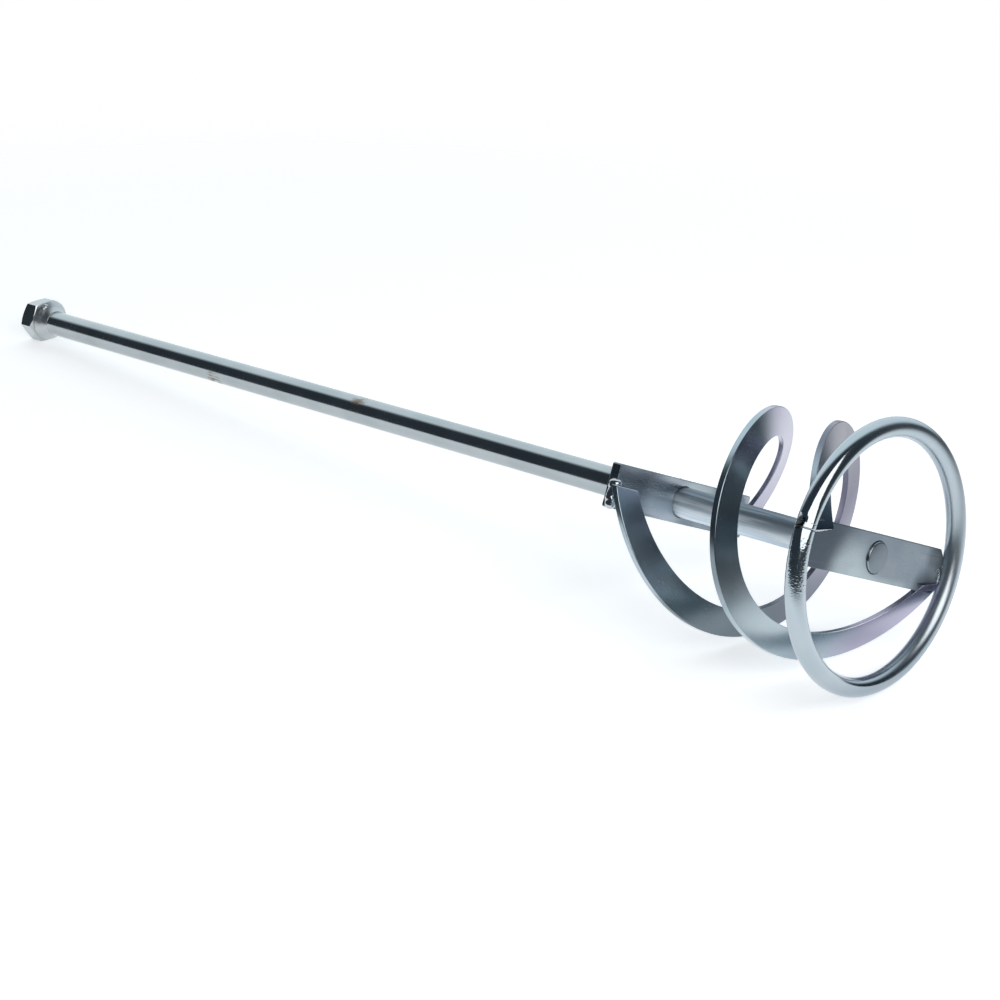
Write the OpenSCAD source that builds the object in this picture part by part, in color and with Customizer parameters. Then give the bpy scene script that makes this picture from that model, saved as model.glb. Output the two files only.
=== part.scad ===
// Mortar mixing paddle: a round drive shaft with a hexagon coupling at one end and a
// welded mixing basket at the other. The basket is two flat crossbars, two spiral blades
// of flat bar and a round-bar ring. Everything is steel, welded together and zinc plated.
//
// Frame: +X runs along the shaft from the coupling to the ring, +Z is up, and two flats
// of the coupling face up and down. The origin is on the shaft axis, at mid-thickness of
// the coupling. Angles about the shaft are counted from +Y towards +Z.

/* [Drive coupling] */
// Width across the flats of the hexagon coupling
coupling_flats = 22; // [20:0.5:27]
// Thickness of the coupling along the shaft
coupling_h = 11; // [9:0.5:16]
// Minor diameter of the M14 x 2 thread, drawn as a plain bore
thread_bore_d = 11.84; // [10:0.02:12.5]
// Diameter of the countersink at each end of the thread
countersink_d = 14.7; // [14:0.1:16]

/* [Shaft] */
// Diameter of the round bar
shaft_d = 14; // [13:0.5:16]
// Length of the round bar below the coupling
shaft_len = 597; // [400:1:700]
// Chamfer on the lower end of the bar
shaft_chamfer = 0.8; // [0.2:0.1:1.5]
// How far the lower end stands proud of the bottom crossbar
shaft_stand_out = 1; // [0.5:0.1:3]

/* [Crossbars] */
// Width of the flat bar
bar_w = 20; // [16:1:24]
// Thickness of the flat bar
bar_t = 5; // [4:0.5:8]
// Length of the top crossbar
top_bar_len = 98; // [90:1:104]
// Length of the bottom crossbar before its ends are coped to the ring
bottom_bar_len = 105; // [103:1:108]
// Distance between the lower faces of the two crossbars
basket_len = 106; // [90:1:140]
// Clipped corners of the top crossbar
top_bar_clip = 0.6; // [0.2:0.2:4]
// Clipped corners of the bottom crossbar
bottom_bar_clip = 4; // [0.5:0.5:5]
// Angle of the crossbars about the shaft
bar_turn = -27; // [-60:1:60]

/* [Blades] */
// Outer diameter of the spiral blades
blade_od = 104.4; // [96:0.2:106]
// Width of the flat bar of the blades, measured radially
blade_w = 12.8; // [9:0.1:16]
// Thickness of the flat bar of the blades, measured along the shaft
blade_t = 3; // [2:0.1:5]
// How far the inner edge leads the outer edge along the shaft
blade_dish = 2.2; // [0:0.1:5]
// How far the pitch swings: the blade climbs fast at its ends and slowly half way
blade_wave = 8.6; // [0:0.1:12]
// Start angle of each blade about the shaft: blade a, blade b
blade_start = [152.5, -28]; // [-180:0.5:180]
// Angle that each blade turns through
blade_turn = [355, 356]; // [340:1:358]
// How much each blade was left pushed towards the ring half way round
blade_bulge = [-1, 1.5]; // [-3:0.5:3]
// Angle by which the inner edge is cut shorter than the outer edge at the ring end
blade_end_skew = 5; // [0:0.5:8]

/* [Bottom ring] */
// Outer diameter of the ring
ring_od = 120; // [118:0.5:124]
// Diameter of the ring's round bar
ring_bar_d = 8.7; // [8:0.1:10]
// Lean of the ring away from square to the shaft
ring_lean = 2.2; // [0:0.1:3]
// Angle about the shaft towards which the ring's axis leans
ring_lean_dir = 111; // [0:1:359]
// Angle about the shaft of the ring's butt joint
ring_joint_turn = 147; // [135:1:160]
// Width of the butt joint, as an angle about the shaft
ring_joint_w = 2.4; // [1:0.1:4]

/* [Welds] */
// Outer radius of the fillet weld under the coupling
coupling_weld_r = 10.4; // [9:0.1:10.8]
// Length of the fillet weld under the coupling
coupling_weld_len = 8; // [4:0.5:12]
// Leg of the fillet welds between the shaft and the crossbars
bar_weld_leg = 3.5; // [2:0.5:6]
// Radius of the bead on each end of the top crossbar
top_bead_r = 2.4; // [2:0.1:3]
// Length of the straight run of that bead
top_bead_run = 7; // [4:0.5:12]
// How far that bead sits off the middle of the bar's width
top_bead_shift = 3.5; // [0:0.5:4]
// Radius of the thin bead along the ring end of blade a
blade_a_bead_r = 1; // [0.6:0.1:1.6]
// Radius of the bead beside the ring end of blade b
blade_b_bead_r = 1.5; // [0.8:0.1:2]
// Length of the straight run of that bead
blade_b_bead_run = 7; // [4:0.5:10]
// Radius of the beads between the bottom crossbar and the ring
ring_bead_r = 2.2; // [1.5:0.1:3]
// How far the butt weld stands proud of the ring's bar
butt_proud = 0.15; // [0.05:0.05:0.5]

/* [Hidden] */
$fn = 96;

zinc_bright = "#c9d0d8";
zinc_satin = "#8f9aa8";
zinc_weld = "#dfe3e8";

coupling_face_r = 0.475 * coupling_flats;
coupling_corner_r = coupling_flats / 2 / cos(30);
coupling_chamfer_h = (coupling_corner_r - coupling_face_r) * tan(30);
countersink_h = (countersink_d - thread_bore_d) / 2 / tan(60);

shaft_r = shaft_d / 2;
shaft_x = coupling_h / 2;
shaft_end_x = shaft_x + shaft_len;
bottom_bar_x = shaft_end_x - shaft_stand_out;
top_bar_x = bottom_bar_x - basket_len;
ring_x = shaft_end_x;

blade_ro = blade_od / 2;
blade_ri = blade_ro - blade_w;
blade_x = top_bar_x + blade_t / 2 + blade_dish / 2;
blade_rise = bottom_bar_x + blade_t / 2 - blade_x;
blade_steps = 90;

ring_r = (ring_od - ring_bar_d) / 2;
bead_off = 0.4;
eps = 0.01;

// Corners of the blade's section: radius, place along the shaft, and cut back at the end.
blade_section = [
    [blade_ro, -blade_t / 2 - blade_dish / 2, 0],
    [blade_ro, blade_t / 2 - blade_dish / 2, 0],
    [blade_ri, blade_t / 2 + blade_dish / 2, blade_end_skew],
    [blade_ri, -blade_t / 2 + blade_dish / 2, blade_end_skew]
];

// Place along the shaft of a blade's middle, at share s of its turn.
function blade_climb(s, bulge) =
    blade_x + blade_rise * s + blade_wave * sin(360 * s) + bulge * (1 - cos(360 * s));

// One corner of the blade's section at share s of its turn.
function blade_point(corner, s, start, turn, bulge) =
    let (own_s = s * (turn - corner[2]) / turn)
    let (angle = start + turn * own_s)
    [
        blade_climb(own_s, bulge) + corner[1],
        corner[0] * cos(angle),
        corner[0] * sin(angle)
    ];

// Turns a shape drawn about Z so that it lies about X.
module about_x() {
    rotate([90, 0, 90])
        children();
}

// A weld bead: a straight run with round ends, along Z.
module bead(len, r) {
    cylinder(r = r, h = len, center = true, $fn = 32);
    for (end = [-1, 1])
        translate([0, 0, end * len / 2])
            sphere(r = r, $fn = 32);
}

// A fillet weld round the shaft, standing on a face at x = 0 and facing +X.
module shaft_fillet(outer_r, len) {
    about_x()
        rotate_extrude()
            polygon([
                [shaft_r, 0],
                [outer_r, 0],
                [outer_r - 0.3 * (outer_r - shaft_r), 0.2 * len],
                [shaft_r + 0.25 * (outer_r - shaft_r), 0.6 * len],
                [shaft_r, len]
            ]);
}

// A flat bar across the shaft, with its lower face at x and a hole for the shaft.
module crossbar_blank(x, len, clip) {
    half_len = len / 2;
    half_w = bar_w / 2;
    translate([x - bar_t, 0, 0])
        rotate([bar_turn, 0, 0])
            about_x()
                difference() {
                    linear_extrude(bar_t)
                        polygon([
                            [half_len, half_w - clip],
                            [half_len - clip, half_w],
                            [clip - half_len, half_w],
                            [-half_len, half_w - clip],
                            [-half_len, clip - half_w],
                            [clip - half_len, -half_w],
                            [half_len - clip, -half_w],
                            [half_len, clip - half_w]
                        ]);
                    translate([0, 0, -eps])
                        cylinder(d = shaft_d, h = bar_t + 2 * eps);
                }
}

// The bottom crossbar as cut from the bar, before it is coped to the ring.
module bottom_bar_blank() {
    crossbar_blank(bottom_bar_x, bottom_bar_len, bottom_bar_clip);
}

// The ring's bar as a full or part turn, before it is leaned over.
module ring_bar(bar_d, start, angle) {
    translate([ring_x, 0, 0])
        rotate(a = ring_lean, v = [0, -sin(ring_lean_dir), cos(ring_lean_dir)])
            rotate([start, 0, 0])
                about_x()
                    rotate_extrude(angle = angle)
                        translate([ring_r, 0])
                            circle(d = bar_d, $fn = 64);
}

// Places a bead at an end of a crossbar: side is -1 or 1, out is the distance from the shaft.
module at_bar_end(x, side, out, across = 0) {
    rotate([bar_turn, 0, 0])
        translate([x, side * out, across])
            children();
}

// A spiral blade of flat bar, swept station by station.
module blade(start, turn, bulge) {
    points = [
        for (i = [0 : blade_steps])
            for (corner = blade_section)
                blade_point(corner, i / blade_steps, start, turn, bulge)
    ];
    sides = [
        for (i = [0 : blade_steps - 1])
            for (k = [0 : 3])
                let (here = 4 * i, next = 4 * i + 4, l = (k + 1) % 4)
                    each [
                        [here + k, here + l, next + l],
                        [here + k, next + l, next + k]
                    ]
    ];
    last = 4 * blade_steps;
    difference() {
        polyhedron(
            points = points,
            faces = concat(
                sides,
                [[3, 2, 1], [3, 1, 0]],
                [[last, last + 1, last + 2], [last, last + 2, last + 3]]
            ),
            convexity = 6
        );
        bottom_bar_blank();
    }
}

// Hexagon coupling with an internal thread, chamfered on both faces.
module drive_coupling() {
    half_h = coupling_h / 2;
    color(zinc_bright)
        about_x()
            difference() {
                intersection() {
                    cylinder(r = coupling_corner_r, h = coupling_h, center = true, $fn = 6);
                    rotate_extrude()
                        polygon([
                            [0, -half_h],
                            [coupling_face_r, -half_h],
                            [coupling_corner_r, -half_h + coupling_chamfer_h],
                            [coupling_corner_r, half_h - coupling_chamfer_h],
                            [coupling_face_r, half_h],
                            [0, half_h]
                        ]);
                }
                cylinder(d = thread_bore_d, h = coupling_h + 2, center = true);
                for (face = [0, 1])
                    mirror([0, 0, face])
                        translate([0, 0, half_h - countersink_h])
                            cylinder(d1 = thread_bore_d, d2 = countersink_d, h = countersink_h);
            }
}

// Round bar that carries the basket; its lower end is chamfered.
module shaft() {
    color(zinc_bright)
        translate([shaft_x, 0, 0])
            about_x()
                rotate_extrude()
                    polygon([
                        [0, 0],
                        [shaft_r, 0],
                        [shaft_r, shaft_len - shaft_chamfer],
                        [shaft_r - shaft_chamfer, shaft_len],
                        [0, shaft_len]
                    ]);
}

// Upper flat bar, which carries the start of both blades.
module top_crossbar() {
    color(zinc_satin)
        crossbar_blank(top_bar_x, top_bar_len, top_bar_clip);
}

// Lower flat bar, coped to the inside of the ring.
module bottom_crossbar() {
    color(zinc_satin)
        difference() {
            bottom_bar_blank();
            ring_bar(ring_bar_d, 0, 360);
        }
}

// First spiral blade.
module blade_a() {
    color(zinc_satin)
        blade(blade_start[0], blade_turn[0], blade_bulge[0]);
}

// Second spiral blade, half a turn from the first.
module blade_b() {
    color(zinc_satin)
        blade(blade_start[1], blade_turn[1], blade_bulge[1]);
}

// Round bar bent into a ring, open at its butt joint.
module bottom_ring() {
    color(zinc_bright)
        ring_bar(ring_bar_d, ring_joint_turn + ring_joint_w / 2, 360 - ring_joint_w);
}

// Fillet weld between the coupling and the shaft.
module coupling_weld() {
    color(zinc_weld)
        translate([shaft_x, 0, 0])
            shaft_fillet(coupling_weld_r, coupling_weld_len);
}

// Fillet weld between the shaft and the upper face of the top crossbar.
module top_crossbar_weld() {
    color(zinc_weld)
        translate([top_bar_x - bar_t, 0, 0])
            mirror([1, 0, 0])
                shaft_fillet(shaft_r + 0.8 * bar_weld_leg, bar_weld_leg);
}

// Fillet weld between the shaft and the upper face of the bottom crossbar.
module bottom_crossbar_weld() {
    color(zinc_weld)
        translate([bottom_bar_x - bar_t, 0, 0])
            mirror([1, 0, 0])
                shaft_fillet(shaft_r + 0.8 * bar_weld_leg, bar_weld_leg);
}

// Bead across an end of the top crossbar, up to the underside of a blade.
module blade_top_weld(side) {
    color(zinc_weld)
        difference() {
            at_bar_end(
                top_bar_x - top_bead_r - bead_off,
                side,
                top_bar_len / 2 + bead_off,
                side * top_bead_shift
            )
                bead(top_bead_run, top_bead_r);
            crossbar_blank(top_bar_x, top_bar_len, top_bar_clip);
        }
}

// Thin bead along the ring end of blade a, on the lower face of the bottom crossbar.
module blade_a_bottom_weld() {
    end = blade_start[0] + blade_turn[0];
    outer = (blade_ro - 2 * blade_a_bead_r) * [cos(end), sin(end)];
    inner = (blade_ri + 2 * blade_a_bead_r)
        * [cos(end - blade_end_skew), sin(end - blade_end_skew)];
    run = inner - outer;
    middle = (inner + outer) / 2;
    color(zinc_weld)
        difference() {
            translate([bottom_bar_x, middle[0], middle[1]])
                rotate([atan2(-run[0], run[1]), 0, 0])
                    bead(norm(run), blade_a_bead_r);
            bottom_bar_blank();
        }
}

// Bead up the inside of the ring from the ring end of blade b, on the same face.
module blade_b_bottom_weld() {
    color(zinc_weld)
        difference() {
            at_bar_end(bottom_bar_x, 1, blade_ro - 1.2 * blade_b_bead_r, -blade_b_bead_run / 2)
                bead(blade_b_bead_run, blade_b_bead_r);
            bottom_bar_blank();
            ring_bar(ring_bar_d, 0, 360);
        }
}

// Bead between an end of the bottom crossbar and the inside of the ring.
module ring_weld(side) {
    color(zinc_weld)
        difference() {
            at_bar_end(bottom_bar_x - bar_t, side, bottom_bar_len / 2 - ring_bead_r / 2)
                bead(bar_w - 3 * ring_bead_r, ring_bead_r);
            bottom_bar_blank();
            ring_bar(ring_bar_d, 0, 360);
        }
}

// Weld that closes the ring's butt joint.
module ring_butt_weld() {
    color(zinc_weld)
        ring_bar(ring_bar_d + 2 * butt_proud, ring_joint_turn - ring_joint_w / 2, ring_joint_w);
}

drive_coupling();
shaft();
top_crossbar();
bottom_crossbar();
blade_a();
blade_b();
bottom_ring();
coupling_weld();
top_crossbar_weld();
bottom_crossbar_weld();
blade_top_weld(-1);  // blade_a_top_weld
blade_top_weld(1);  // blade_b_top_weld
blade_a_bottom_weld();
blade_b_bottom_weld();
ring_weld(-1);  // ring_weld_near
ring_weld(1);  // ring_weld_far
ring_butt_weld();
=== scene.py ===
import math
import random

import bmesh
import bpy
from mathutils import Matrix, Quaternion, Vector, noise


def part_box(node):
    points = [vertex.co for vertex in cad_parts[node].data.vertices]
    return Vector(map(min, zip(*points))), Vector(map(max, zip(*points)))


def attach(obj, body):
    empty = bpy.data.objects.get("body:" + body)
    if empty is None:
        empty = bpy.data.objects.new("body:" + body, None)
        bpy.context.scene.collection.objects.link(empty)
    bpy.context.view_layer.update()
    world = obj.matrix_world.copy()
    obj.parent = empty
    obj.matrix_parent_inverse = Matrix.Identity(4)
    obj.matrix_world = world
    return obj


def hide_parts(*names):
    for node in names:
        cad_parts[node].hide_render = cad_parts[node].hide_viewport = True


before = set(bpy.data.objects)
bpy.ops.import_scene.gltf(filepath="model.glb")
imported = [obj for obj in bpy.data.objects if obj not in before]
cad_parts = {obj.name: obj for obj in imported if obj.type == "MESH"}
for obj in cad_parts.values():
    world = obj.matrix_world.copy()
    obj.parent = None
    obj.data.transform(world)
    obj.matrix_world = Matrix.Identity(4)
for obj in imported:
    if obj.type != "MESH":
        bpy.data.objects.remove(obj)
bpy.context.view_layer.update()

# ---------------------------------------------------------------- table, light and camera
# The paddle lies on a pale table, touching it with the ring's rim and one flat of the
# coupling, so it leans a few degrees against the shaft, and it glows a little, as a light
# table does. One soft box stands high in front, and a broad bright part of the room behind.
MM = 0.001
coupling_low, coupling_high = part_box("drive_coupling")
ring_low, ring_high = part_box("bottom_ring")
ring_x = (ring_low.x + ring_high.x) / 2
coupling_x = (coupling_low.x + coupling_high.x) / 2
table_lean = math.atan((coupling_low.z - ring_low.z) / (ring_x - coupling_x))
table_drop = 0.3 * MM
table_radius = 1.2
table_steps = 96
table_glow = 0.64
table_white = (0.88, 0.89, 0.9, 1)
table_reach = (0.62, 0.50)
fade_start = 0.6
fade_end = 1.35

scene = bpy.context.scene
scene.view_settings.view_transform = "Standard"

bm = bmesh.new()
bmesh.ops.create_circle(bm, cap_ends=True, segments=table_steps, radius=table_radius)
bmesh.ops.translate(bm, verts=bm.verts, vec=((coupling_x - ring_x) / 2, 0, 0))
bmesh.ops.rotate(bm, verts=bm.verts, matrix=Matrix.Rotation(table_lean, 3, "Y"))
bmesh.ops.translate(bm, verts=bm.verts, vec=(ring_x, 0, ring_low.z - table_drop))
table_mesh = bpy.data.meshes.new("table")
bm.to_mesh(table_mesh)
bm.free()
table = bpy.data.objects.new("table", table_mesh)
scene.collection.objects.link(table)


class Signal:
    """A shader socket that takes part in ordinary arithmetic."""

    def __init__(self, finish, socket):
        self.finish = finish
        self.socket = socket

    def maths(self, operation, other, swapped=False):
        """Adds a Math node on this socket and another value, in either order."""
        first, second = (other, self) if swapped else (self, other)
        return self.finish.node("Math", {"operation": operation}, {0: first, 1: second})

    def __add__(self, other):
        return self.maths("ADD", other)

    def __radd__(self, other):
        return self.maths("ADD", other, True)

    def __sub__(self, other):
        return self.maths("SUBTRACT", other)

    def __rsub__(self, other):
        return self.maths("SUBTRACT", other, True)

    def __mul__(self, other):
        return self.maths("MULTIPLY", other)

    def __rmul__(self, other):
        return self.maths("MULTIPLY", other, True)


class Finish:
    """A node tree being built: a material's or the world's."""

    def __init__(self, owner):
        owner.use_nodes = True
        self.owner = owner
        self.tree = owner.node_tree
        self.tree.nodes.clear()

    def node(self, kind, settings=None, values=None, output=0):
        """Adds a node of a kind, sets it, gives its sockets their values or links."""
        made = self.tree.nodes.new("ShaderNode" + kind)
        for name, setting in (settings or {}).items():
            setattr(made, name, setting)
        for name, value in (values or {}).items():
            if isinstance(value, Signal):
                self.tree.links.new(value.socket, made.inputs[name])
            else:
                made.inputs[name].default_value = value
        return Signal(self, made.outputs[output]) if made.outputs else None

    def ramp(self, value, start, end):
        """A number that runs smoothly from 0 to 1 as value runs from start to end."""
        return self.node(
            "MapRange",
            {"interpolation_type": "SMOOTHSTEP"},
            {"Value": value, "From Min": start, "From Max": end},
        )

    def minus(self, first, second):
        """The vector from the second place to the first."""
        return self.node("VectorMath", {"operation": "SUBTRACT"}, {0: first, 1: second})

    def distance(self, spot, point):
        """How far a spot on the surface is from a point."""
        return self.node("VectorMath", {"operation": "DISTANCE"}, {0: spot, 1: point}, output=1)

    def blend(self, share, first, second):
        """A colour between two colours."""
        mix = {"data_type": "RGBA", "clamp_factor": True}
        return self.node("Mix", mix, {0: share, 6: first, 7: second}, output=2)


paddle_middle = Vector(((ring_x + coupling_x) / 2, 0, 0))
table_finish = Finish(bpy.data.materials.new("pale_table"))
spot = table_finish.node("TexCoord", output=3)
stretched = table_finish.node(
    "VectorMath",
    {"operation": "MULTIPLY"},
    {0: table_finish.minus(spot, paddle_middle), 1: (1 / table_reach[0], 1 / table_reach[1], 0)},
)
from_middle = table_finish.node("VectorMath", {"operation": "LENGTH"}, {0: stretched}, output=1)
clear = table_finish.ramp(from_middle, fade_start, fade_end)
matt = table_finish.node("BsdfDiffuse", None, {"Color": table_white})
glow = table_finish.node("Emission", None, {"Color": table_white, "Strength": table_glow})
lit = table_finish.node("AddShader", None, {0: matt, 1: glow})
nothing = table_finish.node("BsdfTransparent")
top = table_finish.node("MixShader", None, {0: clear, 1: lit, 2: nothing})
table_finish.node("OutputMaterial", None, {"Surface": top})
table_mesh.materials.append(table_finish.owner)

bright_way = Vector((-0.50, 0.70, 0.50)).normalized()
room_dim = (0.040, 0.052, 0.064, 1)
room_bright = (0.98, 1.08, 1.12, 1)
room_floor = (0.07, 0.08, 0.09, 1)
world_finish = Finish(bpy.data.worlds.new("studio"))
direction = world_finish.node("TexCoord")
height = world_finish.node("SeparateXYZ", None, {0: direction}, output=2)
toward_bright = world_finish.node(
    "VectorMath", {"operation": "DOT_PRODUCT"}, {0: direction, 1: bright_way}, output=1
)
in_bright = world_finish.ramp(toward_bright, 0.48, 0.74)
under_floor = world_finish.ramp(height, 0.0, -0.08)
room = world_finish.blend(in_bright, room_dim, room_bright)
room = world_finish.blend(under_floor, room, room_floor)
seen_direct = world_finish.node("LightPath")
behind = world_finish.node("Background", None, {"Color": (1, 1, 1, 1), "Strength": 1.0})
around = world_finish.node("Background", None, {"Color": room, "Strength": 1.0})
both = world_finish.node("MixShader", None, {0: seen_direct, 1: around, 2: behind})
world_finish.node("OutputWorld", None, {"Surface": both})
scene.world = world_finish.owner


def place_facing(name, data, place, look, roll=0.0):
    """Puts a lamp or a camera at a place, looking one way and rolled about that line."""
    made = bpy.data.objects.new(name, data)
    made.location = place
    made.rotation_mode = "QUATERNION"
    made.rotation_quaternion = look.to_track_quat("-Z", "Y") @ Quaternion((0, 0, 1), roll)
    scene.collection.objects.link(made)
    return made


ring_centre = Vector((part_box("shaft")[1].x, 0, 0))
camera_offset = Vector((0.5236, -0.7240, 0.3913))
camera_look = Vector((-0.6670, 0.6453, -0.3725))
camera_roll = math.radians(-4.06)
camera_data = bpy.data.cameras.new("camera")
camera_data.sensor_width = 36
camera_data.lens = 82.8
camera_data.clip_start = 0.01
scene.camera = place_facing(
    "camera", camera_data, ring_centre + camera_offset, camera_look, camera_roll
)

box_offset = 1.3 * Vector((0.75, -0.25, 0.60))
box_lamp = bpy.data.lights.new("front_box", "AREA")
box_lamp.color = (1.0, 0.955, 0.92)
box_lamp.shape = "RECTANGLE"
box_lamp.size = 1.25
box_lamp.size_y = 1.05
box_lamp.energy = 9.5
front_box = place_facing("front_box", box_lamp, ring_centre + box_offset, -box_offset)
front_box.visible_camera = False

# ---------------------------------------------------------------- shaft
# Solid round bar of bright-drawn steel, bright zinc plated and chamfered at its lower end.
# Drawing leaves faint lines along it, and handling has left two small brown rubs. Between
# the crossbars, where the bath reached less well, the plating is duller and streaky, and its
# colour there is painted light: painted shade on the upper side, a painted reflection of the
# table on the lower side and painted glint streaks.
shaft_low, shaft_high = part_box("shaft")
shaft_r = (shaft_high.z - shaft_low.z) / 2
shaft_len = shaft_high.x - shaft_low.x
shaft_chamfer = 0.8 * MM
shaft_steps = 128
rub_places = ((0.168, -0.006, -0.003), (0.283, -0.004, 0.006))
rub_brown = (0.24, 0.17, 0.13, 1)
dull_from = 0.490
dull_to = 0.601
smooth_below = math.radians(32)
merge_below = 0.002 * MM


def add_piece(name, bm, finish, nodes, even_normals=False):
    """Makes an object of a bmesh, shaded smooth except over sharp edges, in place of nodes."""
    bmesh.ops.remove_doubles(bm, verts=bm.verts, dist=merge_below)
    bmesh.ops.recalc_face_normals(bm, faces=bm.faces)
    for face in bm.faces:
        face.smooth = True
    for edge in bm.edges:
        edge.smooth = len(edge.link_faces) == 2 and edge.calc_face_angle() < smooth_below
    mesh = bpy.data.meshes.new(name)
    bm.to_mesh(mesh)
    bm.free()
    mesh.materials.append(finish)
    piece = bpy.data.objects.new(name, mesh)
    scene.collection.objects.link(piece)
    if even_normals:
        weighted = piece.modifiers.new("even_normals", "WEIGHTED_NORMAL")
        weighted.keep_sharp = True
    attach(piece, "root")
    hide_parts(*nodes)


def along_x(bm, x):
    """Turns a shape drawn round Z so that it lies round X, and moves it to x."""
    turn = Matrix.Rotation(math.radians(90), 3, "Y")
    bmesh.ops.rotate(bm, verts=bm.verts, matrix=turn)
    bmesh.ops.translate(bm, verts=bm.verts, vec=(x, 0, 0))


def plated(name, base, tint, rough, grain_stretch, marks=None, grain=1.0):
    """Zinc plating: cloudy tint, fine crystal grain, drawn or rolled lines and tiny pits.

    grain_stretch(finish, spot) gives the coordinates on which the lines are long, and
    marks(finish, spot, colour, roughness, relief) adds a piece's own stains and wear, and on
    some pieces painted shade, painted reflections and painted highlights."""
    finish = Finish(bpy.data.materials.new(name))
    spot = finish.node("TexCoord", output=3)
    cloud = finish.node("TexNoise", None, {"Vector": spot, "Scale": 42.0, "Detail": 3.0})
    fine = finish.node("TexNoise", None, {"Vector": spot, "Scale": 2600.0, "Detail": 2.0})
    lines = finish.node(
        "TexNoise", None, {"Vector": grain_stretch(finish, spot), "Scale": 1.0, "Detail": 4.0}
    )
    speck = finish.node("TexVoronoi", None, {"Vector": spot, "Scale": 420.0, "Randomness": 1.0})
    pit = finish.ramp(speck, 0.10, 0.03) * finish.ramp(cloud, 0.50, 0.62)
    colour = finish.blend(finish.ramp(cloud, 0.36, 0.66), base, tint)
    colour = finish.blend(lines * 0.10 * grain, colour, (0.72, 0.76, 0.78, 1))
    colour = finish.blend(pit * 0.7, colour, (0.10, 0.10, 0.11, 1))
    roughness = rough + (cloud - 0.5) * 0.12 + (lines - 0.5) * (0.12 * grain) + pit * 0.3
    relief = fine * 0.30 + lines * 0.6 * grain - pit * 2.0
    if marks:
        colour, roughness, relief = marks(finish, spot, colour, roughness, relief)
    bump = finish.node(
        "Bump", None, {"Height": relief, "Strength": 0.20, "Distance": 0.02 * MM}
    )
    shader = finish.node(
        "BsdfPrincipled",
        None,
        {"Base Color": colour, "Roughness": roughness, "Metallic": 1.0, "Normal": bump},
    )
    finish.node("OutputMaterial", None, {"Surface": shader})
    return finish.owner


def lines_along_x(finish, spot):
    """Drawn lines that run along the shaft."""
    return finish.node("Mapping", None, {"Vector": spot, "Scale": (9.0, 900.0, 900.0)})


def rubs_and_painted_light(finish, spot, colour, roughness, relief):
    """Two small rubs on the shaft; between the crossbars duller plating with painted shade above,
    a painted reflection of the table below and painted glint streaks.
    """
    for place in rub_places:
        near = finish.ramp(finish.distance(spot, place), 0.0075, 0.0015)
        stretched = finish.node("Mapping", None, {"Vector": spot, "Scale": (200.0, 620.0, 900.0)})
        scratch = finish.node("TexNoise", None, {"Vector": stretched, "Scale": 1.0, "Detail": 5.0})
        worn = near * finish.ramp(scratch, 0.44, 0.56)
        colour = finish.blend(worn * 0.85, colour, rub_brown)
        roughness = roughness + worn * 0.22
        relief = relief - worn * 1.6
    x = finish.node("SeparateXYZ", None, {0: spot}, output=0)
    dull = finish.ramp(x, dull_from, dull_from + 10 * MM)
    dull = dull * finish.ramp(x, dull_to, dull_to - 0.5 * MM)
    drawn = finish.node("Mapping", None, {"Vector": spot, "Scale": (26.0, 640.0, 640.0)})
    streak = finish.node("TexNoise", None, {"Vector": drawn, "Scale": 1.0, "Detail": 3.0})
    streaked = finish.ramp(streak, 0.44, 0.60)
    # Painted light between the crossbars: painted shade on the shaft's upper side, a painted
    # reflection of the table on its lower side, and painted glint streaks.
    lower = finish.ramp(finish.node("SeparateXYZ", None, {0: spot}, output=2), 0.0058, 0.0036)
    painted_shade_and_reflection = finish.blend(lower, (0.20, 0.245, 0.29, 1), (0.68, 0.76, 0.84, 1))
    painted_glint = finish.blend(lower, (0.42, 0.50, 0.57, 1), (0.90, 0.96, 1.0, 1))
    colour = finish.blend(dull, colour, painted_shade_and_reflection)
    colour = finish.blend(dull * streaked, colour, painted_glint)
    roughness = roughness + dull * (streaked * 0.14 + 0.42)
    sparkle = finish.node("TexNoise", None, {"Vector": spot, "Scale": 1500.0, "Detail": 3.0})
    relief = relief + dull * (streak * 2.5 + sparkle * 5.0)
    cut_end = finish.ramp(x, shaft_high.x - 0.4 * MM, shaft_high.x - 0.2 * MM)
    colour = finish.blend(cut_end, colour, (0.21, 0.25, 0.29, 1))
    return colour, roughness + cut_end * 0.22, relief


shaft_finish = plated(
    "drawn_bar_zinc",
    (0.38, 0.425, 0.445, 1),
    (0.43, 0.47, 0.49, 1),
    0.15,
    lines_along_x,
    marks=rubs_and_painted_light,
)

bm = bmesh.new()
bmesh.ops.create_cone(
    bm, cap_ends=True, segments=shaft_steps, radius1=shaft_r, radius2=shaft_r, depth=shaft_len
)
along_x(bm, shaft_low.x + shaft_len / 2)
end_rim = [e for e in bm.edges if all(v.co.x > shaft_high.x - MM for v in e.verts)]
bmesh.ops.bevel(
    bm, geom=end_rim, offset=shaft_chamfer, segments=3, profile=0.5, affect="EDGES", material=-1
)
add_piece("round_shaft", bm, shaft_finish, ["shaft"])

# ---------------------------------------------------------------- drive coupling
# Hexagon steel coupling, turned with a 30 degree chamfer on both faces and tapped
# M14 x 2 right through. It is welded on to the top of the shaft.
flats_r = (coupling_high.z - coupling_low.z) / 2
face_r = 0.95 * flats_r
half_h = (coupling_high.x - coupling_low.x) / 2
chamfer_slope = math.tan(math.radians(30))
thread_pitch = 2.0 * MM
thread_minor_r = 5.92 * MM
thread_depth = 1.05 * MM
thread_flank = 1.35
countersink_r = 7.35 * MM
countersink_slope = math.tan(math.radians(30))
coupling_steps = 24 * 6
thread_steps = 72


def hexagon(angle):
    """Distance of the hexagon's side from the axis, with two sides square to Z."""
    step = math.radians(60)
    return flats_r / math.cos((angle + step / 2) % step - step / 2)


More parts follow.
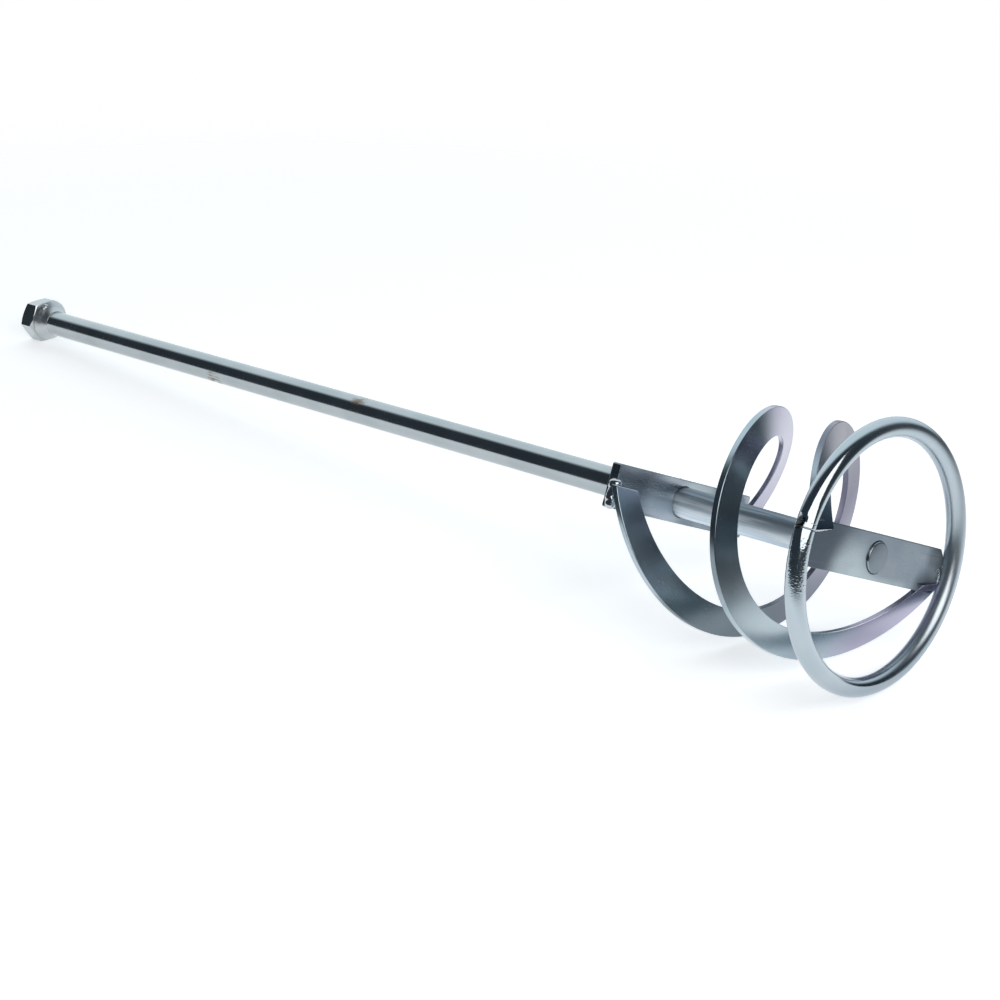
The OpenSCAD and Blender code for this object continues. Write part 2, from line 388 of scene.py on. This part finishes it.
def add_loop(bm, radius, x):
    """A closed loop round X; radius and x may each depend on the angle from +Z."""
    loop = bmesh.ops.create_circle(bm, segments=coupling_steps, radius=1.0)["verts"]
    for vert in loop:
        angle = math.atan2(vert.co.y, vert.co.x)
        r = radius(angle)
        vert.co = Vector((x(angle, r), r * math.sin(angle), r * math.cos(angle)))
    return [edge for edge in bm.edges if edge.verts[0] in loop and edge.verts[1] in loop]


def thread_radius(x):
    """A function for the wall's radius at each angle: a V groove that climbs a pitch a turn."""

    def radius(angle):
        phase = (x / thread_pitch + angle / math.tau) % 1.0
        groove = min(1.0, thread_flank * (1 - abs(2 * phase - 1)))
        to_mouth = (half_h - abs(x)) / (countersink_r - thread_minor_r)
        mouth = max(0.0, 1 - to_mouth / countersink_slope)
        threaded = thread_minor_r + thread_depth * groove
        return max(threaded, thread_minor_r + (countersink_r - thread_minor_r) * mouth)

    return radius


bm = bmesh.new()
loops = []
for side in (-1, 1):
    face_x = side * half_h
    face = add_loop(bm, lambda angle: face_r, lambda angle, r: face_x)
    rim = add_loop(bm, hexagon, lambda angle, r: face_x - side * (r - face_r) * chamfer_slope)
    loops.append((face, rim))
wall = [
    add_loop(
        bm,
        thread_radius(-half_h + 2 * half_h * i / thread_steps),
        lambda angle, r: -half_h + 2 * half_h * i / thread_steps,
    )
    for i in range(thread_steps + 1)
]
around_coupling = [wall[-1], loops[1][0], loops[1][1], loops[0][1], loops[0][0], wall[0]]
for first, second in zip(around_coupling, around_coupling[1:]):
    bmesh.ops.bridge_loops(bm, edges=first + second)
for first, second in zip(wall, wall[1:]):
    bmesh.ops.bridge_loops(bm, edges=first + second)


def lines_round_x(finish, spot):
    """Turning marks that run round the axis."""
    flat = finish.node("VectorMath", {"operation": "MULTIPLY"}, {0: spot, 1: (0, 1, 1)})
    away = finish.node("VectorMath", {"operation": "LENGTH"}, {0: flat}, output=1)
    x = finish.node("SeparateXYZ", None, {0: spot}, output=0)
    return finish.node("CombineXYZ", None, {0: x * 700.0, 1: away * 1600.0})


coupling_finish = plated(
    "turned_coupling_zinc", (0.42, 0.46, 0.475, 1), (0.46, 0.49, 0.50, 1), 0.12, lines_round_x
)
add_piece(
    "hexagon_coupling", bm, coupling_finish, ["drive_coupling"], even_normals=True
)

# ---------------------------------------------------------------- crossbars
# Two lengths of rolled flat bar, drilled for the shaft and welded to it. The bottom one
# has its corners cropped to fit inside the ring. Rolled bar has softly rounded edges.
bar_turn = math.radians(-27)
bar_w = 20 * MM
bar_edge = 0.45 * MM
top_bar_len = 98 * MM
top_bar_crop = 0.6 * MM
bottom_bar_len = 105 * MM
bottom_bar_crop = 4.0 * MM
hole_play = 0.12 * MM
round_steps = 96
rim_above = math.radians(60)
top_bar_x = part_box("top_crossbar")[1].x
bottom_bar_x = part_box("bottom_crossbar")[1].x
bar_patches = (
    ((top_bar_x, -0.013, 0.005), 0.018, 0.75, (0.56, 0.63, 0.69, 1)),
    ((bottom_bar_x, -0.020, 0.000), 0.018, 0.75, (0.44, 0.51, 0.54, 1)),
    # Painted shade and a painted reflection of the far blade's end on the lower bar.
    ((bottom_bar_x, 0.033, -0.027), 0.011, 0.85, (0.05, 0.07, 0.09, 1)),
)


def add_crossbar(name, node, length, crop):
    """A flat bar across the shaft: outline with its hole, extruded and edge-rounded."""
    low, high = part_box(node)
    bm = bmesh.new()
    bmesh.ops.create_grid(bm, x_segments=1, y_segments=1, size=0.5)
    bmesh.ops.scale(bm, verts=bm.verts, vec=(length, bar_w, 1))
    bmesh.ops.bevel(
        bm, geom=bm.verts[:], offset=crop, segments=1, profile=0.5, affect="VERTICES", material=-1
    )
    bmesh.ops.delete(bm, geom=bm.faces[:], context="FACES_ONLY")
    bmesh.ops.create_circle(bm, segments=round_steps, radius=shaft_r + hole_play)
    filled = bmesh.ops.triangle_fill(bm, use_beauty=True, edges=bm.edges[:])
    plate = [f for f in filled["geom"] if isinstance(f, bmesh.types.BMFace)]
    raised = bmesh.ops.extrude_face_region(bm, geom=plate, use_keep_orig=True)
    lifted = [v for v in raised["geom"] if isinstance(v, bmesh.types.BMVert)]
    bmesh.ops.translate(bm, verts=lifted, vec=(0, 0, high.x - low.x))
    bmesh.ops.recalc_face_normals(bm, faces=bm.faces)
    rims = [e for e in bm.edges if e.calc_face_angle(0) > rim_above]
    bmesh.ops.bevel(
        bm, geom=rims, offset=bar_edge, segments=3, profile=0.5, affect="EDGES", material=-1
    )
    # The outline's X becomes the bar's length across the shaft, and its Z the shaft's X.
    bmesh.ops.transform(
        bm,
        verts=bm.verts,
        matrix=Matrix.Rotation(bar_turn, 4, "X")
        @ Matrix(((0, 0, 1, low.x), (1, 0, 0, 0), (0, 1, 0, 0), (0, 0, 0, 1))),
    )
    add_piece(name, bm, bar_finish, [node], even_normals=True)


def lines_along_bar(finish, spot):
    """Rolling lines that run along a crossbar."""
    level = finish.node("Mapping", None, {"Vector": spot, "Rotation": (-bar_turn, 0, 0)})
    return finish.node("Mapping", None, {"Vector": level, "Scale": (900.0, 16.0, 900.0)})


def bar_marks_and_painted_shade(finish, spot, colour, roughness, relief):
    """Broad cloudy patches; the lower bar is darker beside the near blade's weld, and at its other
    end it carries painted shade and a painted reflection of the far blade's end.
    """
    level = finish.node("Mapping", None, {"Vector": spot, "Rotation": (-bar_turn, 0, 0)})
    drawn = finish.node("Mapping", None, {"Vector": level, "Scale": (24.0, 24.0, 60.0)})
    patch = finish.node("TexNoise", None, {"Vector": drawn, "Scale": 1.0, "Detail": 2.0})
    colour = finish.blend(finish.ramp(patch, 0.45, 0.70), colour, (0.40, 0.46, 0.49, 1))
    # Darker towards the lower bar's end beside the near blade's weld.
    away = finish.distance(spot, (bottom_bar_x, -0.044, 0.026))
    dark = finish.ramp(away + (patch - 0.5) * 0.02, 0.042, 0.012)
    colour = finish.blend(dark * 0.86, colour, (0.045, 0.062, 0.085, 1))
    for place, reach, share, shade in bar_patches:
        away = finish.distance(spot, place) + (patch - 0.5) * 0.012
        colour = finish.blend(finish.ramp(away, reach, 0.3 * reach) * share, colour, shade)
    at_ring = finish.ramp(finish.distance(spot, (bottom_bar_x, 0.048, -0.019)), 0.015, 0.006)
    scratches = finish.node("Mapping", None, {"Vector": level, "Scale": (500.0, 9.0, 500.0)})
    scratch = finish.node("TexNoise", None, {"Vector": scratches, "Scale": 1.0, "Detail": 1.0})
    scored = finish.ramp(scratch, 0.66, 0.72)
    colour = finish.blend(scored * 0.35, colour, (0.16, 0.17, 0.19, 1))
    return colour, roughness + scored * 0.1 + at_ring * 0.30, relief - scored * 1.5


bar_finish = plated(
    "rolled_bar_zinc",
    (0.180, 0.220, 0.265, 1),
    (0.225, 0.265, 0.305, 1),
    0.27,
    lines_along_bar,
    marks=bar_marks_and_painted_shade,
    grain=0.6,
)
add_crossbar("upper_crossbar", "top_crossbar", top_bar_len, top_bar_crop)
add_crossbar("lower_crossbar", "bottom_crossbar", bottom_bar_len, bottom_bar_crop)

# ---------------------------------------------------------------- spiral blades
# Each blade is a strip of flat bar rolled on edge into a right-handed spiral of almost
# one turn. It climbs fast at both ends and slowly half way, and its inner edge leads. Each
# spiral's start, turn and bulge along the shaft are its own, as the bending was by hand.
blade_w = 12.8 * MM
blade_t = 3.0 * MM
blade_dish = 2.2 * MM
blade_wave = 8.6 * MM
blade_ro = 52.2 * MM
blade_ri = blade_ro - blade_w
blade_steps = 240
blade_edge = 0.4 * MM
blade_end_skew = math.radians(5)
skew_from = 0.9
end_share = 0.01
near_blade_start = math.radians(152.5)
near_blade_turn = math.radians(355)
near_blade_bulge = -1.0 * MM
far_blade_start = math.radians(-28)
far_blade_turn = math.radians(356)
far_blade_bulge = 1.5 * MM
blade_x = top_bar_x + blade_t / 2 + blade_dish / 2
blade_rise = bottom_bar_x + blade_t / 2 - blade_x
# Painted reflections on the blades: a dark patch where a blade mirrors the dim far table, and a
# light patch where it mirrors the lit table nearby.
blade_painted_reflections = (
    ((0.558, -0.048, 0.006), 0.028, 0.62, (0.10, 0.13, 0.15, 1)),
    ((0.567, -0.035, -0.028), 0.022, 0.50, (0.62, 0.70, 0.74, 1)),
)


def blade_climb(share, bulge):
    """Place along the shaft of a blade's middle, at a share of its turn."""
    turn = math.tau * share
    return blade_rise * share + blade_wave * math.sin(turn) + bulge * (1 - math.cos(turn))


def add_blade(name, node, start, turn, bulge):
    """Sweeps the strip's section round the shaft, skews its last end and rounds its edges."""
    bm = bmesh.new()
    half = Vector((blade_t / 2, 0, 0))
    lead = Vector((blade_dish / 2, 0, 0))
    outer = Vector((blade_x, blade_ro, 0)) - lead
    inner = Vector((blade_x, blade_ri, 0)) + lead
    corners = [bm.verts.new(p) for p in (outer - half, outer + half, inner + half, inner - half)]
    skewed = []
    end = bm.faces.new(corners)
    bmesh.ops.rotate(bm, verts=bm.verts, matrix=Matrix.Rotation(start, 3, "X"))
    for i in range(blade_steps):
        grown = bmesh.ops.extrude_face_region(bm, geom=[end, *end.edges])["geom"]
        end = next(g for g in grown if isinstance(g, bmesh.types.BMFace))
        climb = blade_climb((i + 1) / blade_steps, bulge) - blade_climb(i / blade_steps, bulge)
        bmesh.ops.rotate(
            bm, verts=end.verts, matrix=Matrix.Rotation(turn / blade_steps, 3, "X")
        )
        bmesh.ops.translate(bm, verts=end.verts, vec=(climb, 0, 0))
        late = max(0.0, (i + 1) / blade_steps - skew_from) / (1 - skew_from)
        if late:
            short = [v for v in end.verts if v.co.yz.length < (blade_ri + blade_ro) / 2]
            skewed += [(v, late * late) for v in short]
    slope = (blade_climb(1.0, bulge) - blade_climb(1.0 - end_share, bulge)) / (end_share * turn)
    for vert, share in skewed:
        vert.co = Matrix.Rotation(-blade_end_skew * share, 3, "X") @ vert.co
        vert.co.x -= slope * blade_end_skew * share
    bmesh.ops.recalc_face_normals(bm, faces=bm.faces)
    rims = [e for e in bm.edges if e.calc_face_angle(0) > rim_above]
    bmesh.ops.bevel(
        bm, geom=rims, offset=blade_edge, segments=3, profile=0.5, affect="EDGES", material=-1
    )
    add_piece(name, bm, blade_finish, [node], even_normals=True)


def lines_round_blade(finish, spot):
    """Rolling lines that follow the blade round the shaft."""
    flat = finish.node("VectorMath", {"operation": "MULTIPLY"}, {0: spot, 1: (0, 1, 1)})
    away = finish.node("VectorMath", {"operation": "LENGTH"}, {0: flat}, output=1)
    stretched = finish.node("Mapping", None, {"Vector": spot, "Scale": (60.0, 40.0, 40.0)})
    x, y, z = (finish.node("SeparateXYZ", None, {0: stretched}, output=i) for i in range(3))
    return finish.node("CombineXYZ", None, {0: x, 1: y + away * 900.0, 2: z})


def bloom_and_painted_light(finish, spot, colour, roughness, relief):
    """A violet bloom on the far side, as thin plating has; painted shade on parts of the near
    blade, and broad painted reflections, lighter and darker.
    """
    x, y, z = (finish.node("SeparateXYZ", None, {0: spot}, output=i) for i in range(3))
    drift = finish.node("TexNoise", None, {"Vector": spot, "Scale": 24.0, "Detail": 2.0})
    wander = (drift - 0.5) * 0.03
    bloom = finish.ramp(y + wander, -0.010, 0.014)
    colour = finish.blend(bloom * 0.72, colour, (0.44, 0.385, 0.52, 1))
    # Painted shade: a dark navy patch on the near blade's last turn next to the lower bar.
    late = finish.ramp(x, 0.546, 0.556) * finish.ramp(y, -0.032, -0.008)
    late = late * finish.ramp(z, -0.03, -0.01)
    colour = finish.blend(late * 0.84, colour, (0.11, 0.11, 0.16, 1))
    # Painted shade: the lower side of the near blade's upper loops is darker, standing for the
    # shaded table it mirrors.
    early = finish.ramp(x, 0.556, 0.543) * finish.ramp(z + wander, -0.012, -0.032)
    colour = finish.blend(early * 0.72, colour, (0.10, 0.13, 0.145, 1))
    for place, reach, share, shade in blade_painted_reflections:
        away = finish.distance(spot, place) + wander
        colour = finish.blend(finish.ramp(away, reach, 0.3 * reach) * share, colour, shade)
    # Painted shade and a painted dark reflection: the near blade's end, where it drops onto the
    # lower bar, is painted dark navy.
    painted_dark_reflection = finish.ramp(finish.distance(spot, (bottom_bar_x, -0.038, 0.027)), 0.024, 0.010)
    colour = finish.blend(painted_dark_reflection * 0.88, colour, (0.035, 0.085, 0.150, 1))
    return colour, roughness, relief


blade_finish = plated(
    "rolled_blade_zinc",
    (0.36, 0.45, 0.50, 1),
    (0.44, 0.51, 0.57, 1),
    0.24,
    lines_round_blade,
    marks=bloom_and_painted_light,
    grain=0.3,
)
add_blade("near_blade", "blade_a", near_blade_start, near_blade_turn, near_blade_bulge)
add_blade("far_blade", "blade_b", far_blade_start, far_blade_turn, far_blade_bulge)

# ---------------------------------------------------------------- bottom ring
# Round bar bent to a ring and welded shut. It leans a little, as it was welded by hand.
# Its plating is bright, and rough with weld spatter next to the butt joint.
ring_od = 120 * MM
ring_bar_r = 4.35 * MM
ring_r = ring_od / 2 - ring_bar_r
ring_lean = math.radians(2.2)
ring_lean_dir = math.radians(111)
ring_joint = math.radians(147)
lean_axis = Vector((0, -math.sin(ring_lean_dir), math.cos(ring_lean_dir)))
lean_matrix = Matrix.Translation(ring_centre) @ Matrix.Rotation(ring_lean, 4, lean_axis)
ring_bar_steps = 112
joint_gap = math.radians(2.4)
joint_steps = 16
joint_proud = 0.03 * MM
cut_edge = 0.3 * MM
joint_edge = 0.15 * MM
pitted_turn = math.radians(32)
ground_turn = math.radians(11)
ground_normal = Vector((0.73, -0.50, 0.47)).normalized()
ground_depth = 0.42 * MM
ground_wave = 0.05 * MM
seam_turn = 0.006
seam_depth = 0.24 * MM
nick_turn = 0.044
nick_shift = 0.036
nick_depth = 3.2 * MM
nick_normal = Vector((-0.23, -0.95, 0.22)).normalized()
nick_painted_shade = (0.012, 0.015, 0.018, 1)
drop_turn = (0.09, 0.56)
drop_normal = Vector((0.52, -0.72, 0.39)).normalized()
drop_depth = 0.18 * MM
grit_depth = 0.022 * MM


def ring_point(angle):
    """The middle of the ring's bar, at an angle round the shaft."""
    return lean_matrix @ Vector((0, ring_r * math.cos(angle), ring_r * math.sin(angle)))


def lines_round_ring(finish, spot):
    """Drawn lines that follow the ring's bar."""
    flat = finish.node("VectorMath", {"operation": "MULTIPLY"}, {0: spot, 1: (0, 1, 1)})
    away = finish.node("VectorMath", {"operation": "LENGTH"}, {0: flat}, output=1)
    x = finish.node("SeparateXYZ", None, {0: spot}, output=0)
    return finish.node("CombineXYZ", None, {0: x * 800.0, 1: away * 800.0})


def spatter_and_painted_shade(finish, spot, colour, roughness, relief):
    """Satin plating on the far side, painted shade on the underside and in the open nick; rough
    skin where the ring has spatter on it.
    """
    y, z = (finish.node("SeparateXYZ", None, {0: spot}, output=i) for i in (1, 2))
    satin = finish.ramp(y, -0.030, 0.020)
    # Painted shade: the ring's underside is darker.
    underside_shade = finish.ramp(z, -0.034, -0.054)
    colour = finish.blend(underside_shade * 0.45, colour, (0.23, 0.29, 0.35, 1))
    near = finish.ramp(finish.distance(spot, ring_point(ring_joint + 0.30)), 0.024, 0.010)
    crust = finish.node("TexNoise", None, {"Vector": spot, "Scale": 1500.0, "Detail": 4.0})
    rough_skin = near * crust
    # Painted shade: the inside of the open nick is painted near black.
    open_nick = ring_point(ring_joint - nick_shift) + ring_bar_r * nick_normal
    nick_shade = finish.ramp(finish.distance(spot, open_nick), 3.4 * MM, 2.3 * MM)
    colour = finish.blend(nick_shade * 0.94, colour, nick_painted_shade)
    roughness = roughness + rough_skin * 0.10 + satin * 0.19
    return colour, roughness, relief + rough_skin * 5.0


ring_finish = plated(
    "bent_ring_zinc",
    (0.42, 0.49, 0.54, 1),
    (0.46, 0.52, 0.57, 1),
    0.12,
    lines_round_ring,
    marks=spatter_and_painted_shade,
)


def ring_bar(bar_r, start, runs):
    """A length of round bar, spun round the shaft in runs of (turn, steps), then leaned."""
    bm = bmesh.new()
    section = bmesh.ops.create_circle(
        bm, cap_ends=True, segments=ring_bar_steps, radius=bar_r
    )["verts"]
    bmesh.ops.translate(bm, verts=section, vec=(0, ring_r, 0))
    bmesh.ops.rotate(
        bm,
        verts=section,
        cent=(0, ring_r, 0),
        matrix=Matrix.Rotation(math.radians(90), 3, "Z"),
    )
    bmesh.ops.rotate(bm, verts=section, matrix=Matrix.Rotation(start, 3, "X"))
    last = bm.faces[:] + bm.edges[:] + bm.verts[:]
    for turn, steps in runs:
        last = bmesh.ops.spin(bm, geom=last, axis=(1, 0, 0), angle=turn, steps=steps)["geom_last"]
    bmesh.ops.transform(bm, verts=bm.verts, matrix=lean_matrix)
    bmesh.ops.recalc_face_normals(bm, faces=bm.faces)
    return bm


def round_ends(bm, edge):
    """Rounds the two cut ends of a length of round bar."""
    ends = [e for e in bm.edges if any(len(f.verts) > 4 for f in e.link_faces)]
    bmesh.ops.bevel(
        bm, geom=ends, offset=edge, segments=2, profile=0.5, affect="EDGES", material=-1
    )


def work_ring(bm):
    """Grinds a flat over the butt joint, leaves one seam and a nick, and adds fine spatter."""
    bm.normal_update()
    upright = lean_matrix.inverted()
    for vert in bm.verts:
        own = upright @ vert.co
        angle = math.atan2(own.z, own.y)
        past = (angle - ring_joint + math.pi) % math.tau - math.pi
        middle = ring_point(angle)
        if abs(past) < ground_turn:
            depth = ground_depth * (1 - (past / ground_turn) ** 2)
            depth += ground_wave * noise.noise(vert.co * 300)
            proud = (vert.co - middle).dot(ground_normal) - (ring_bar_r - depth)
            vert.co -= ground_normal * max(0.0, proud)
            out = (vert.co - middle).normalized()
            seam = max(0.0, 1 - abs(past - joint_gap / 2) / seam_turn)
            nick = max(0.0, 1 - abs(past + nick_shift) / nick_turn)
            nick *= max(0.0, out.dot(nick_normal) - 0.6)
            vert.co -= out * (seam_depth * seam + nick_depth * nick)
        spread = min(1.0, max(0.0, past / drop_turn[0] - 0.6))
        spread *= min(1.0, max(0.0, (drop_turn[1] - past) / 0.12))
        spread *= min(1.0, max(0.0, (vert.normal.dot(drop_normal) - 0.30) / 0.30))
        if spread:
            drop = max(0.0, noise.noise(vert.co * 1500) - 0.14)
            grit = noise.noise(vert.co * 2900 + Vector((3, 1, 2)))
            vert.co += vert.normal * spread * (drop_depth * drop + grit_depth * grit)


ring_runs = (
    (pitted_turn, 150),
    (math.tau - joint_gap - pitted_turn - ground_turn, 124),
    (ground_turn, 48),
)
bm = ring_bar(ring_bar_r, ring_joint + joint_gap / 2, ring_runs)
round_ends(bm, cut_edge)
work_ring(bm)
add_piece("round_bar_ring", bm, ring_finish, ["bottom_ring"])

joint_run = ((joint_gap, joint_steps),)
bm = ring_bar(ring_bar_r + joint_proud, ring_joint - joint_gap / 2, joint_run)
round_ends(bm, joint_edge)
work_ring(bm)
add_piece("ring_joint_weld", bm, ring_finish, ["ring_butt_weld"])

# ---------------------------------------------------------------- welds
# Every joint is welded by hand, in beads of overlapping puddles with a few lumps and
# specks of spatter. They were plated with the rest, so they are as bright as the ring.
chance = random.Random(14)
weld_grain = 0.26 * MM
drop_sizes = (0.35 * MM, 0.7 * MM)
collar_sink = 0.3 * MM
collar_wide = 2.7 * MM
collar_long = 2.4 * MM
collar_steps = 36
bar_long = Vector((0, math.cos(bar_turn), math.sin(bar_turn)))
bar_across = Vector((0, -math.sin(bar_turn), math.cos(bar_turn)))
shaft_line = Vector((1, 0, 0))


def puddle(centre, along, sizes):
    """Where one puddle of weld metal lies: its sizes along, across and above the bead."""
    turn = along.to_track_quat("X", "Z").to_matrix().to_4x4()
    return Matrix.Translation(centre) @ turn @ Matrix.Diagonal((*sizes, 1))


def jitter(amount):
    """A small step in any direction."""
    return Vector([chance.uniform(-amount, amount) for _ in range(3)])


def bead(start, end, radius, pace=0.45, uneven=0.12):
    """Overlapping puddles of uneven sizes from start to end, a share of a radius apart."""
    count = max(2, round((end - start).length / (pace * radius)))
    run = []
    for i in range(count + 1):
        r = radius * (1 + chance.uniform(-uneven, uneven))
        place = start.lerp(end, i / count) + jitter(uneven * radius)
        run.append(puddle(place, end - start, (0.9 * r, r, r)))
    return run


def spatter(middle, spread, count):
    """Small round drops thrown about a place on a face that is square to the shaft."""
    drops = []
    for _ in range(count):
        aside = jitter(spread)
        aside.x = 0
        drops.append(puddle(middle + aside, shaft_line, [chance.uniform(*drop_sizes)] * 3))
    return drops


def collar(x):
    """Puddles round the shaft against a crossbar's face at x, higher on two sides."""
    run = []
    for i in range(collar_steps):
        angle = math.tau * i / collar_steps
        out = Vector((0, math.cos(angle), math.sin(angle)))
        tall = (3.0 + 0.5 * math.sin(2 * angle)) * MM * chance.uniform(0.94, 1.06)
        wide = collar_wide * chance.uniform(0.96, 1.04)
        centre = Vector((x, 0, 0)) + out * (shaft_r - collar_sink)
        run.append(puddle(centre, shaft_line.cross(out), (collar_long, wide, tall)))
    return run


def fillet_ring(profile, height):
    """A ring of weld metal round the shaft; profile runs (x, share of the height)."""
    bm = bmesh.new()
    corners = [bm.verts.new((x, shaft_r + share * MM, 0)) for x, share in profile]
    inner = shaft_r - 0.5 * MM
    corners += [bm.verts.new((x, inner, 0)) for x in (profile[-1][0], profile[0][0])]
    section = bm.faces.new(corners)
    bmesh.ops.spin(
        bm,
        geom=[section, *section.edges, *corners],
        axis=(1, 0, 0),
        angle=math.tau,
        steps=round_steps,
        use_merge=True,
    )
    bmesh.ops.delete(bm, geom=[section], context="FACES_ONLY")
    for vert in bm.verts:
        above = vert.co.yz.length - shaft_r
        if above > 0:
            angle = math.atan2(vert.co.z, vert.co.y)
            r = shaft_r + above / MM * height(angle)
            vert.co.yz = Vector((math.cos(angle), math.sin(angle))) * r
    return bm


def add_weld(name, node, puddles, settle=5, wrinkled=1.0, core=None):
    """Melts the puddles into one skin, lets it settle smooth, then wrinkles it a little."""
    bm = core or bmesh.new()
    for place in puddles:
        bmesh.ops.create_icosphere(bm, subdivisions=3, radius=1.0, matrix=place)
    rough = bpy.data.meshes.new(name + "_puddles")
    bm.to_mesh(rough)
    bm.free()
    carrier = bpy.data.objects.new(name + "_puddles", rough)
    scene.collection.objects.link(carrier)
    melt = carrier.modifiers.new("melt", "REMESH")
    melt.mode = "VOXEL"
    melt.voxel_size = weld_grain
    shape = carrier.evaluated_get(bpy.context.evaluated_depsgraph_get())
    bm = bmesh.new()
    bm.from_mesh(shape.to_mesh())
    bpy.data.objects.remove(carrier)
    for _ in range(settle):
        bmesh.ops.smooth_vert(
            bm, verts=bm.verts, factor=0.5, use_axis_x=True, use_axis_y=True, use_axis_z=True
        )
    bm.normal_update()
    for vert in bm.verts:
        wrinkle = noise.noise(vert.co * 420) * 0.16 + noise.noise(vert.co * 1300) * 0.05
        vert.co += vert.normal * wrinkle * wrinkled * MM
    add_piece(name, bm, weld_finish, [node])


def lines_none(finish, spot):
    """An even grain, with no lines."""
    return finish.node("Mapping", None, {"Vector": spot, "Scale": (500.0, 500.0, 500.0)})


def weld_skin(finish, spot, colour, roughness, relief):
    """Satin plating on the coupling's fillet, and duller plating at the ring's far end."""
    x = finish.node("SeparateXYZ", None, {0: spot}, output=0)
    satin = finish.ramp(x, 0.030, 0.020)
    far_end = (bottom_bar_x, 0.048, -0.020)
    dull = finish.ramp(finish.distance(spot, far_end), 0.018, 0.009)
    colour = finish.blend(dull * 0.6, colour, (0.19, 0.23, 0.27, 1))
    return colour, roughness + satin * 0.24 + dull * 0.14, relief


weld_finish = plated(
    "weld_metal_zinc",
    (0.48, 0.52, 0.55, 1),
    (0.56, 0.59, 0.61, 1),
    0.13,
    lines_none,
    marks=weld_skin,
)

upper_side = math.radians(60)
cone = fillet_ring(
    [
        (shaft_low.x - 0.6 * MM, 0.96),
        (shaft_low.x + 0.8 * MM, 1.0),
        (shaft_low.x + 2.0 * MM, 0.93),
        (shaft_low.x + 3.4 * MM, 0.68),
        (shaft_low.x + 5.0 * MM, 0.38),
        (shaft_low.x + 7.0 * MM, 0.14),
        (shaft_low.x + 8.4 * MM, 0.04),
    ],
    lambda a: (3.6 + 2.4 * max(0.0, math.cos(a - upper_side))) * MM,
)
knob = Vector((shaft_low.x + 2.4 * MM, -2.2 * MM, 9.8 * MM))
lump = bead(knob, knob + Vector((-0.4, -2.2, -1.2)) * MM, 1.7 * MM)
add_weld("coupling_fillet", "coupling_weld", lump, settle=6, wrinkled=0.45, core=cone)
for name, node, bar in (
    ("upper_crossbar_fillet", "top_crossbar_weld", "top_crossbar"),
    ("lower_crossbar_fillet", "bottom_crossbar_weld", "bottom_crossbar"),
):
    add_weld(name, node, collar(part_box(bar)[0].x - 0.1 * MM))


def on_bar(x, long, across):
    """A place on a crossbar's face at x, by distances along and across the bar from the shaft."""
    return Vector((x, 0, 0)) + long * bar_long + across * bar_across


top_bead_out = 48.3 * MM
top_bead_low = 8.4 * MM
top_bead_high = 1.0 * MM
for name, node, side, inset, radius in (
    ("near_blade_upper_bead", "blade_a_top_weld", -1, 1.1 * MM, 2.7 * MM),
    ("far_blade_upper_bead", "blade_b_top_weld", 1, 2.4 * MM, 2.3 * MM),
):
    low_end = on_bar(top_bar_x - inset, side * top_bead_out, side * top_bead_low)
    high_end = on_bar(top_bar_x - inset, side * top_bead_out, -side * top_bead_high)
    run = bead(low_end, high_end, radius, pace=0.5, uneven=0.08)
    add_weld(name, node, run, wrinkled=0.7)

near_end = near_blade_start + near_blade_turn
outer_corner = Vector((0, math.cos(near_end), math.sin(near_end)))
inner_corner = Matrix.Rotation(-blade_end_skew, 3, "X") @ outer_corner
bar_face = Vector((bottom_bar_x + 0.1 * MM, 0, 0))
outer_end = bar_face + outer_corner * (blade_ro - 1.6 * MM)
inner_end = bar_face + inner_corner * (blade_ri + MM)
run = bead(outer_end, inner_end, MM)
add_weld("near_blade_lower_bead", "blade_a_bottom_weld", run)

far_x = bottom_bar_x + 0.2 * MM
far_out = 50.9 * MM
low_end = on_bar(far_x, far_out, -6.5 * MM)
run = bead(low_end, on_bar(far_x, far_out, 0.5 * MM), MM, pace=0.7, uneven=0.25)
run += spatter(on_bar(far_x, far_out, 0), 2.2 * MM, 6)
add_weld("far_blade_lower_bead", "blade_b_bottom_weld", run, settle=3, wrinkled=0.7)

ring_bead_out = 51.4 * MM
ring_bead_half = 7.4 * MM
corner_out = 50.4 * MM
for name, node, side in (
    ("near_ring_bead", "ring_weld_near", -1),
    ("far_ring_bead", "ring_weld_far", 1),
):
    x = bottom_bar_x - 4.6 * MM
    low_end = on_bar(x, side * ring_bead_out, -ring_bead_half)
    run = bead(low_end, on_bar(x, side * ring_bead_out, ring_bead_half), 2.2 * MM)
    x = bottom_bar_x - 1.6 * MM
    low_end = on_bar(x, side * corner_out, -8.4 * MM)
    run += bead(low_end, on_bar(x, side * corner_out, -6.6 * MM), 1.7 * MM)
    add_weld(name, node, run)
